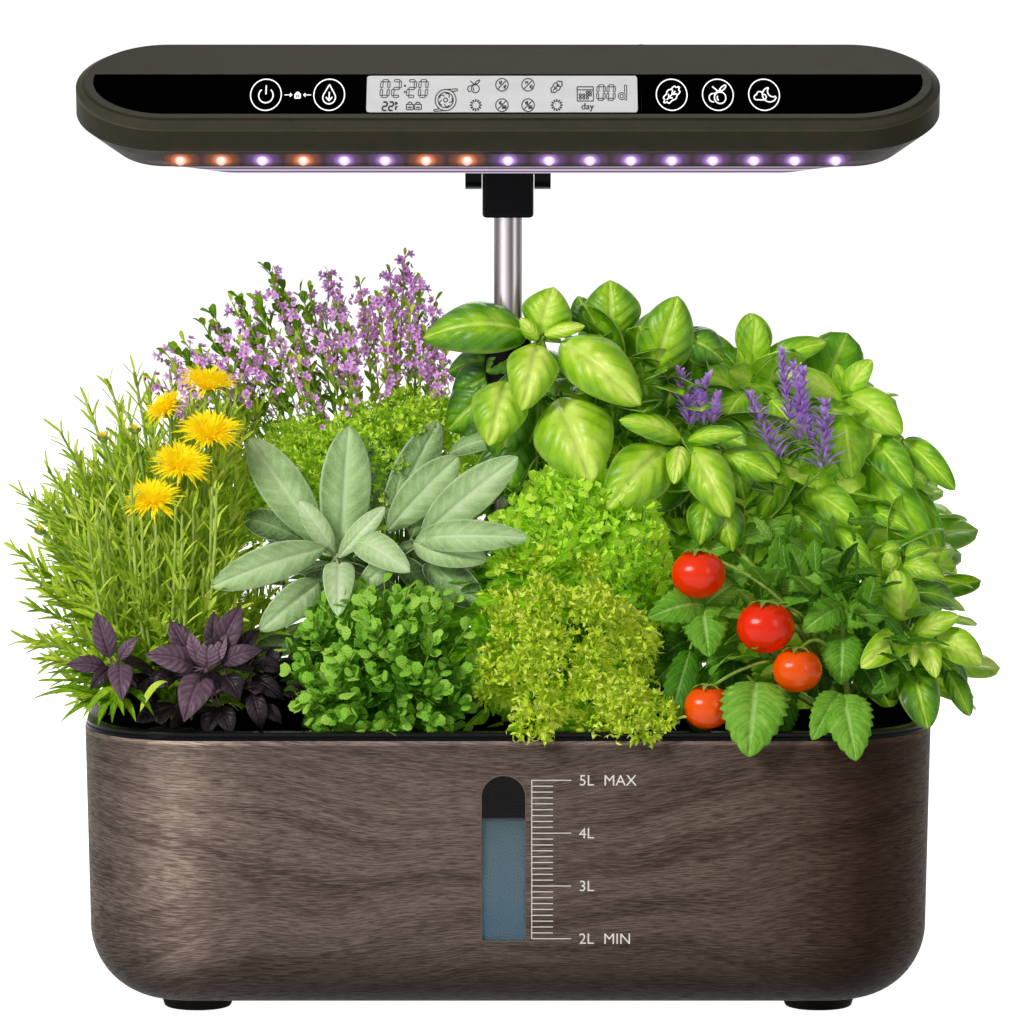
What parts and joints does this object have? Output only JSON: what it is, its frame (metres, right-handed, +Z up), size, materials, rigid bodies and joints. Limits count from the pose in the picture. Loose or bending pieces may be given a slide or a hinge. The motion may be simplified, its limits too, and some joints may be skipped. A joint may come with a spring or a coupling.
{
  "type": "countertop hydroponic garden",
  "caption": "Wood-grained water tank with a planted deck of net-cup pods and a tilting grow lamp on a telescopic mast.",
  "frame": {"origin": "on the tabletop, under the middle of the tank", "axes": "+Z up, +Y from the water gauge's side to the back, +X to the right as seen from the gauge's side"},
  "size_m": [0.436, 0.19, 0.431],
  "materials": {
    "wood_print": "satin",
    "rubber": "matte",
    "clear_window": "gloss",
    "black_gloss": "gloss",
    "pin_steel": "satin",
    "pump_plastic": "satin",
    "filter_foam": "matte",
    "rotor": "satin",
    "cable": "satin",
    "mast_steel": "satin",
    "nylon": "satin",
    "lamp_shell": "satin",
    "control_glass": "gloss",
    "lcd": "satin",
    "circuit_board": "satin",
    "led": "gloss",
    "diffuser": "satin",
    "smoked_strip": "gloss",
    "basket_plastic": "satin",
    "foliage_purple_basil": "matte",
    "foliage_oregano": "matte",
    "foliage_lettuce": "matte",
    "foliage_tomato": "matte",
    "foliage_rosemary": "matte",
    "foliage_sage": "matte",
    "foliage_large_basil": "matte",
    "foliage_bush_basil": "matte",
    "foliage_marigold": "matte",
    "foliage_thyme": "matte",
    "foliage_lavender": "matte",
    "foliage_basil": "matte"
  },
  "bodies": {
    "tank": {"tank_shell": "wood_print", "tank_feet": "rubber", "window_gasket": "rubber", "level_window": "clear_window", "rim_ring": "black_gloss"},
    "deck": {"deck": "black_gloss", "lid_pin": "pin_steel", "pump_housing": "pump_plastic", "pump_cover": "pump_plastic", "pump_filter": "filter_foam", "pump_shaft": "pin_steel", "pump_riser": "pump_plastic", "pump_lead": "cable", "mast_socket": "black_gloss", "mast_sleeve": "mast_steel", "mast_collar": "black_gloss"},
    "fill_lid": {"fill_lid": "black_gloss"},
    "impeller": {"pump_impeller": "rotor"},
    "mast": {"mast_tube": "mast_steel", "mast_bush": "nylon", "hinge_head": "black_gloss", "hinge_pin": "pin_steel"},
    "lamp": {"lamp_yoke": "black_gloss", "lamp_tray": "lamp_shell", "lamp_cover": "lamp_shell", "control_glass": "control_glass", "lcd_display": "lcd", "control_board": "circuit_board", "led_board": "circuit_board", "grow_leds": "led", "grow_diffusers": "diffuser", "light_strip": "smoked_strip", "front_leds": "led", "power_jack": "black_gloss", "lamp_screws": "pin_steel"},
    "pod_purple_basil": {"basket_purple_basil": "basket_plastic", "plant_purple_basil": "foliage_purple_basil"},
    "pod_oregano": {"basket_oregano": "basket_plastic", "plant_oregano": "foliage_oregano"},
    "pod_lettuce": {"basket_lettuce": "basket_plastic", "plant_lettuce": "foliage_lettuce"},
    "pod_tomato": {"basket_tomato": "basket_plastic", "plant_tomato": "foliage_tomato"},
    "pod_rosemary": {"basket_rosemary": "basket_plastic", "plant_rosemary": "foliage_rosemary"},
    "pod_sage": {"basket_sage": "basket_plastic", "plant_sage": "foliage_sage"},
    "pod_large_basil": {"basket_large_basil": "basket_plastic", "plant_large_basil": "foliage_large_basil"},
    "pod_bush_basil": {"basket_bush_basil": "basket_plastic", "plant_bush_basil": "foliage_bush_basil"},
    "pod_marigold": {"basket_marigold": "basket_plastic", "plant_marigold": "foliage_marigold"},
    "pod_thyme": {"basket_thyme": "basket_plastic", "plant_thyme": "foliage_thyme"},
    "pod_lavender": {"basket_lavender": "basket_plastic", "plant_lavender": "foliage_lavender"},
    "pod_basil": {"basket_basil": "basket_plastic", "plant_basil": "foliage_basil"}
  },
  "joints": [
    {"name": "deck_lift", "type": "slide", "parent": "tank", "child": "deck", "axis": [0, 0, 1], "range_m": [0, 0.13]},
    {"name": "lid_flip", "type": "hinge", "parent": "deck", "child": "fill_lid", "pos_m": [0, 0.065, 0.1321], "axis": [-1, 0, 0], "range_deg": [0, 100]},
    {"name": "impeller_spin", "type": "hinge", "parent": "deck", "child": "impeller", "pos_m": [0, -0.0282, 0.0291], "axis": [0, 1, 0], "continuous": true},
    {"name": "mast_extend", "type": "slide", "parent": "deck", "child": "mast", "axis": [0, 0, 1], "range_m": [-0.03, 0.11]},
    {"name": "lamp_tilt", "type": "hinge", "parent": "mast", "child": "lamp", "pos_m": [0, 0, 0.3768], "axis": [1, 0, 0], "range_deg": [-24, 14]},
    {"name": "lift_purple_basil", "type": "slide", "parent": "deck", "child": "pod_purple_basil", "axis": [0, 0, 1], "range_m": [0, 0.05]},
    {"name": "lift_oregano", "type": "slide", "parent": "deck", "child": "pod_oregano", "axis": [0, 0, 1], "range_m": [0, 0.05]},
    {"name": "lift_lettuce", "type": "slide", "parent": "deck", "child": "pod_lettuce", "axis": [0, 0, 1], "range_m": [0, 0.05]},
    {"name": "lift_tomato", "type": "slide", "parent": "deck", "child": "pod_tomato", "axis": [0, 0, 1], "range_m": [0, 0.05]},
    {"name": "lift_rosemary", "type": "slide", "parent": "deck", "child": "pod_rosemary", "axis": [0, 0, 1], "range_m": [0, 0.05]},
    {"name": "lift_sage", "type": "slide", "parent": "deck", "child": "pod_sage", "axis": [0, 0, 1], "range_m": [0, 0.05]},
    {"name": "lift_large_basil", "type": "slide", "parent": "deck", "child": "pod_large_basil", "axis": [0, 0, 1], "range_m": [0, 0.05]},
    {"name": "lift_bush_basil", "type": "slide", "parent": "deck", "child": "pod_bush_basil", "axis": [0, 0, 1], "range_m": [0, 0.05]},
    {"name": "lift_marigold", "type": "slide", "parent": "deck", "child": "pod_marigold", "axis": [0, 0, 1], "range_m": [0, 0.05]},
    {"name": "lift_thyme", "type": "slide", "parent": "deck", "child": "pod_thyme", "axis": [0, 0, 1], "range_m": [0, 0.05]},
    {"name": "lift_lavender", "type": "slide", "parent": "deck", "child": "pod_lavender", "axis": [0, 0, 1], "range_m": [0, 0.05]},
    {"name": "lift_basil", "type": "slide", "parent": "deck", "child": "pod_basil", "axis": [0, 0, 1], "range_m": [0, 0.05]}
  ]
}
